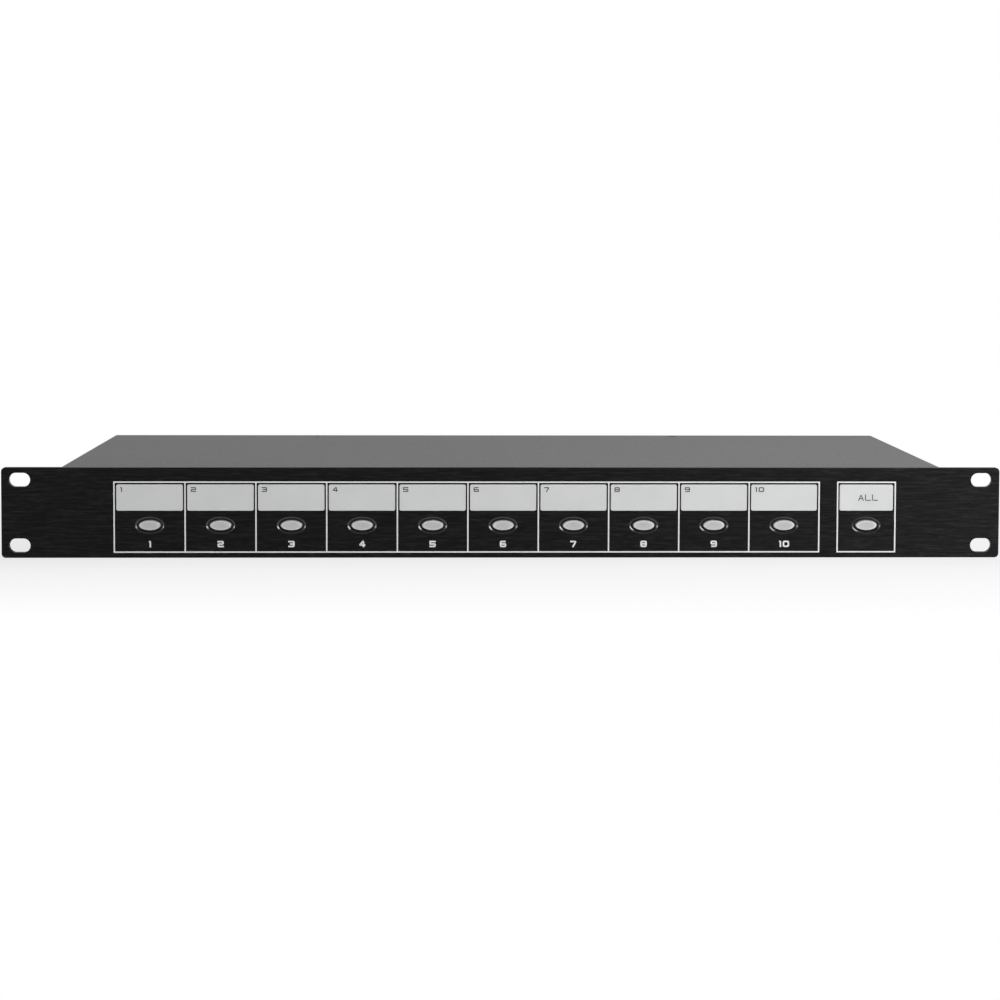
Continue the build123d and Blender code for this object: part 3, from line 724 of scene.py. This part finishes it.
class Print:
    """Mesh of flat strokes of ink on a plane that faces the front or the rear."""

    def __init__(self, face_y, facing):
        self.face_y = face_y
        self.facing = facing
        self.points = []
        self.faces = []

    def step(self, right, up):
        """Step to the right and up, as someone who reads the print sees them."""
        return Vector((right * -self.facing, up))

    def stroke(self, points, width, closed=False):
        """Ribbon of ink along a polyline, with a closed section of four edges."""
        left, right = ribbon_edges(points, width, closed)
        top_y = self.face_y + self.facing * print_thickness
        edges = ((left, top_y), (right, top_y), (right, self.face_y), (left, self.face_y))
        sides = len(edges)
        count = len(points)
        base = len(self.points)
        for edge, y in edges:
            self.points += [(p.x, y, p.y) for p in edge]
        for i in range(count if closed else count - 1):
            j = (i + 1) % count
            for k in range(sides):
                a = base + k * count
                b = base + (k + 1) % sides * count
                self.faces.append((a + i, a + j, b + j, b + i))
        if not closed:
            self.faces.append(tuple(base + k * count for k in range(sides)))
            self.faces.append(tuple(base + k * count + count - 1 for k in reversed(range(sides))))

    def glyph(self, character, middle, width, height, thickness):
        """One character of strokes, centred on a point."""
        size = Vector((width - thickness, height - thickness))
        for shares, closed in glyph_strokes(character, thickness / size.x / 2, thickness / size.y / 2):
            line = [self.step((x - 0.5) * size.x, (z - 0.5) * size.y) + middle for x, z in shares]
            radius = corner_share * height if len(line) > 2 else 0.0
            self.stroke(rounded(line, radius, closed), thickness, closed)

    def row(self, text, middle, width, height, gap, thickness):
        """Characters side by side, centred on a point."""
        x = -row_width(text, width, gap) / 2
        for character, wide in zip(text, character_widths(text, width)):
            self.glyph(character, middle + self.step(x + wide / 2, 0.0), wide, height, thickness)
            x += wide + gap

    def finish(self, name, material):
        add_piece(name, self.points, self.faces, material)


def glyph_strokes(character, side, rise):
    """Centre lines of a squared character in a unit box, each with whether it is closed.

    Side and rise are half a stroke's thickness, as shares of the box's width and height. Bars that
    meet a stem stop at its edge.
    """
    half = 0.5
    square = [(0, 0), (1, 0), (1, 1), (0, 1)]
    bar_left = side
    bar_right = 1 - side
    drawn = {
        "0": [(square, True)],
        "1": [([(0, 1), (0.8, 1), (0.8, -rise)], False)],
        "2": [([(-side, 1), (1, 1), (1, half), (0, half), (0, 0), (1 + side, 0)], False)],
        "3": [([(-side, 1), (1, 1), (1, 0), (-side, 0)], False), ([(0.2, half), (bar_right, half)], False)],
        "4": [([(0.78, 0.28 + rise), (0.78, 1), (0.62, 1), (0, 0.28), (1 + side, 0.28)], False),
              ([(0.78, 0.28 - rise), (0.78, -rise)], False)],
        "5": [([(1 + side, 1), (-side, 1)], False), ([(0, 1 - rise), (0, half + rise)], False),
              ([(-side, half), (1, half), (1, 0), (-side, 0)], False)],
        "6": [([(1, 1), (0, 1), (0, 0), (1, 0), (1, half), (bar_left, half)], False)],
        "7": [([(-side, 1), (1, 1), (0.35, -rise)], False)],
        "8": [(square, True), ([(bar_left, half), (bar_right, half)], False)],
        "9": [([(0, 0), (1, 0), (1, 1), (0, 1), (0, half), (bar_right, half)], False)],
        "A": [([(0, -rise), (half, 1), (1, -rise)], False), ([(0.26, 0.3), (0.74, 0.3)], False)],
        "I": [([(half, 1 + rise), (half, -rise)], False)],
        "L": [([(0, 1 + rise), (0, 0), (1 + side, 0)], False)],
        "N": [([(0, -rise), (0, 1), (1, 0), (1, 1 + rise)], False)],
        "-": [([(-side, half), (1 + side, half)], False)],
        "+": [([(-side, half), (half - side, half)], False),
              ([(half + side, half), (1 + side, half)], False),
              ([(half, 0.1), (half, 0.9)], False)],
    }
    return drawn[character]


# Print on the front

def rectangle(left, right, bottom, top):
    return [Vector(point) for point in ((left, bottom), (right, bottom), (right, top), (left, top))]


label_low, label_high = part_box("zone_labels")
all_low, all_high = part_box("all_label")
button_x = [middle_of(f"{name}_button").x for name in buttons]
cell_pitch = button_x[1] - button_x[0]
cell_left = button_x[0] - cell_pitch / 2
cell_right = cell_left + cell_pitch * zone_count
label_edge = label_low.x - cell_left


def add_cell_frames(drawing):
    """Frame of the zones' cells with the lines between them, and the frame of the cell for all zones."""
    zone_frame = rectangle(cell_left, cell_right, frame_bottom, frame_top)
    drawing.stroke(zone_frame, line_width, closed=True)
    ends = (frame_bottom + line_width / 2, frame_top - line_width / 2)
    for i in range(1, zone_count):
        x = cell_left + cell_pitch * i
        drawing.stroke([Vector((x, z)) for z in ends], line_width)
    all_frame = rectangle(all_low.x - label_edge, all_high.x + label_edge, frame_bottom, frame_top)
    drawing.stroke(all_frame, line_width, closed=True)


def add_digits(drawing):
    """Number of each zone under its button."""
    for i in range(zone_count):
        middle = Vector((button_x[i], digit_middle))
        drawing.row(str(i + 1), middle, digit_width, digit_height, digit_gap, digit_stroke)


def add_marks(drawing):
    """Small number of each zone in the upper left corner of its label field."""
    for i in range(zone_count):
        text = str(i + 1)
        left = label_low.x + cell_pitch * i + mark_inset_x
        x = left + row_width(text, mark_width, mark_gap) / 2
        middle = Vector((x, label_high.z - mark_inset_z - mark_height / 2))
        drawing.row(text, middle, mark_width, mark_height, mark_gap, mark_stroke)


def add_word(drawing):
    """Word on the label field of the cell for all zones."""
    middle = Vector(((all_low.x + all_high.x) / 2 + word_offset, (all_low.z + all_high.z) / 2))
    drawing.row("ALL", middle, word_letter_width, word_height, word_gap, word_stroke)


white_ink = ink("print_white", (0.80, 0.80, 0.80))
panel_print = Print(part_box("front_panel")[0].y, toward_front)
add_cell_frames(panel_print)
add_digits(panel_print)
panel_print.finish("panel_print", white_ink)

label_print = Print(label_low.y, toward_front)
add_marks(label_print)
add_word(label_print)
label_print.finish("label_print", ink("print_dark", (0.03, 0.03, 0.033)))


# Print on the rear

def add_bar(drawing, x, z, width):
    """Level bar, centred on a point."""
    drawing.stroke([Vector((x - width / 2, z)), Vector((x + width / 2, z))], sign_stroke)


def add_zone_signs(drawing):
    """Number of each zone over a bracket that spans its pair of poles."""
    low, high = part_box("zone_terminals")
    zone_width = poles_per_zone * pole_pitch
    block_starts = (low.x + block_end, high.x - block_end - zones_per_block * zone_width)
    level = high.z + sign_gap
    for i in range(zone_count):
        block, seat = divmod(i, zones_per_block)
        x = block_starts[block] + (seat + 0.5) * zone_width
        left, right = x - pair_width / 2, x + pair_width / 2
        bracket = ((left, level - pair_tick), (left, level), (right, level), (right, level - pair_tick))
        drawing.stroke([Vector(point) for point in bracket], sign_stroke)
        middle = Vector((x, level + sign_gap + sign_height / 2))
        drawing.row(str(i + 1), middle, sign_width, sign_height, digit_gap, sign_stroke)


def add_line_signs(drawing):
    """Polarity over each pole of the incoming line, with a word over them."""
    x = middle_of("line_terminal").x
    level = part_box("line_terminal")[1].z + sign_gap + sign_height / 2
    for i, sign in enumerate(line_signs):
        at = x + (i - (len(line_signs) - 1) / 2) * pole_pitch
        drawing.row(sign, Vector((at, level)), sign_width, sign_height, digit_gap, sign_stroke)
    middle = Vector((x, level + sign_gap + sign_height))
    drawing.row("IN", middle, sign_width, sign_height, digit_gap, sign_stroke)


def add_earth_sign(drawing):
    """Stem over three bars, each shorter than the one above it."""
    x = middle_of("earth_screw").x
    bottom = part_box("earth_screw")[1].z + sign_gap
    for i, share in enumerate(reversed(earth_bar_shares)):
        add_bar(drawing, x, bottom + i * bar_gap, symbol_width * share)
    stem = bottom + (len(earth_bar_shares) - 1) * bar_gap + sign_stroke / 2
    drawing.stroke([Vector((x, stem)), Vector((x, stem + sign_height / 2))], sign_stroke)


def add_supply_sign(drawing):
    """Bar over a row of dashes, for direct current."""
    x = middle_of("dc_inlet").x
    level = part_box("dc_inlet")[1].z + sign_gap
    dash = symbol_width * supply_dash_share
    step = (symbol_width - dash) / (supply_dashes - 1)
    for i in range(supply_dashes):
        add_bar(drawing, x - symbol_width / 2 + dash / 2 + i * step, level, dash)
    add_bar(drawing, x, level + bar_gap, symbol_width)


rear_print = Print(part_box("base_tray")[1].y, toward_rear)
add_zone_signs(rear_print)
add_line_signs(rear_print)
add_earth_sign(rear_print)
add_supply_sign(rear_print)
rear_print.finish("rear_print", white_ink)


# Studio

def seen_directly(tree):
    """1 for what the camera sees, straight, in gloss or through glass, and 0 for light on the object."""
    seen = add_node(tree, "ShaderNodeLightPath").outputs
    direct = math_node(tree, "ADD", seen["Is Camera Ray"], seen["Is Glossy Ray"])
    return math_node(tree, "ADD", direct, seen["Is Transmission Ray"])


def mix_shaders(tree, factor, first, second):
    """Shader that goes from first to second with a factor."""
    inputs = {"Fac": factor, 1: first.outputs[0], 2: second.outputs[0]}
    return add_node(tree, "ShaderNodeMixShader", inputs)


def floor_material():
    """White floor that keeps the shadow near the object and is plain white further off."""
    material = bpy.data.materials.new("floor")
    material.use_nodes = True
    tree = material.node_tree
    tree.nodes.clear()
    half = (cad_high - cad_low) / 2
    beside = vector_math(tree, "ABSOLUTE", place(tree))
    outside = vector_math(tree, "SUBTRACT", beside, (half.x, half.y, 0.0))
    outside = vector_math(tree, "MAXIMUM", outside, (0.0, 0.0, 0.0))
    away = ranged(tree, length_of(tree, outside), low=0.0, high=1.0, start=0.0, end=floor_fade)
    lit = add_node(tree, "ShaderNodeBsdfDiffuse", {"Color": floor_color})
    glow = add_node(tree, "ShaderNodeEmission", {"Color": white})
    near = mix_shaders(tree, floor_glow, lit, glow)
    plain = mix_shaders(tree, away, near, glow)
    shown = mix_shaders(tree, seen_directly(tree), lit, plain)
    add_node(tree, "ShaderNodeOutputMaterial", {"Surface": shown.outputs[0]})
    return material


def add_floor():
    """Large square just under the object."""
    half = floor_size / 2
    mesh = bpy.data.meshes.new("floor")
    level = cad_low.z - floor_gap
    corners = [(-half, -half, level), (half, -half, level), (half, half, level), (-half, half, level)]
    mesh.from_pydata(corners, [], [(0, 1, 2, 3)])
    mesh.materials.append(floor_material())
    floor = bpy.data.objects.new("floor", mesh)
    bpy.context.scene.collection.objects.link(floor)


def add_lamp(name, at, size, power):
    """Rectangular lamp that faces the object, with its width and height."""
    data = bpy.data.lights.new(name, "AREA")
    data.shape = "RECTANGLE"
    data.size, data.size_y = size
    data.energy = power
    lamp = bpy.data.objects.new(name, data)
    lamp.location = at
    target = (cad_low + cad_high) / 2
    lamp.rotation_euler = (target - Vector(at)).to_track_quat("-Z", "Y").to_euler()
    bpy.context.scene.collection.objects.link(lamp)


def add_world():
    """White to the camera and in reflections, darker high up in front, and an even light on the object."""
    world = bpy.data.worlds.new("studio")
    world.use_nodes = True
    tree = world.node_tree
    tree.nodes.clear()
    toward = add_node(tree, "ShaderNodeTexCoord").outputs["Generated"]
    toward_y = axis_of(tree, toward, "Y")
    toward_z = axis_of(tree, toward, "Z")
    high = ranged(tree, toward_z, low=0.0, high=1.0, start=ceiling_low, end=ceiling_high)
    front = ranged(tree, toward_y, low=1.0, high=0.0, start=ceiling_front, end=ceiling_rear)
    ceiling = math_node(tree, "MULTIPLY", high, front)
    strength = ranged(tree, ceiling, low=backdrop_strength, high=ceiling_strength, start=0.0, end=1.0)
    ambient = add_node(tree, "ShaderNodeBackground", {"Color": white, "Strength": ambient_strength})
    backdrop = add_node(tree, "ShaderNodeBackground", {"Color": white, "Strength": strength})
    shown = mix_shaders(tree, seen_directly(tree), ambient, backdrop)
    add_node(tree, "ShaderNodeOutputWorld", {"Surface": shown.outputs[0]})
    bpy.context.scene.world = world


def add_camera():
    """Camera at the photograph's place, turned by its three angles."""
    data = bpy.data.cameras.new("camera")
    data.lens = camera_lens
    data.sensor_width = camera_sensor
    data.shift_y = camera_shift
    camera = bpy.data.objects.new("camera", data)
    yaw, tilt, roll = (math.radians(angle) for angle in (camera_yaw, camera_tilt, camera_roll))
    look = Vector((math.sin(yaw) * math.cos(tilt), math.cos(yaw) * math.cos(tilt), -math.sin(tilt)))
    right = Vector((math.cos(yaw), -math.sin(yaw), 0.0))
    up = right.cross(look)
    across = right * math.cos(roll) + up * math.sin(roll)
    upward = up * math.cos(roll) - right * math.sin(roll)
    turn = Matrix((across, upward, -look)).transposed().to_4x4()
    camera.matrix_world = Matrix.Translation(camera_place) @ turn
    bpy.context.scene.collection.objects.link(camera)
    bpy.context.scene.camera = camera


add_floor()
add_lamp("key", key_place, key_size, key_power)
add_lamp("front", front_place, front_size, front_power)
add_lamp("fill", fill_place, fill_size, fill_power)
add_lamp("rear", rear_place, rear_size, rear_power)
add_world()
add_camera()
bpy.context.scene.view_settings.view_transform = "Standard"
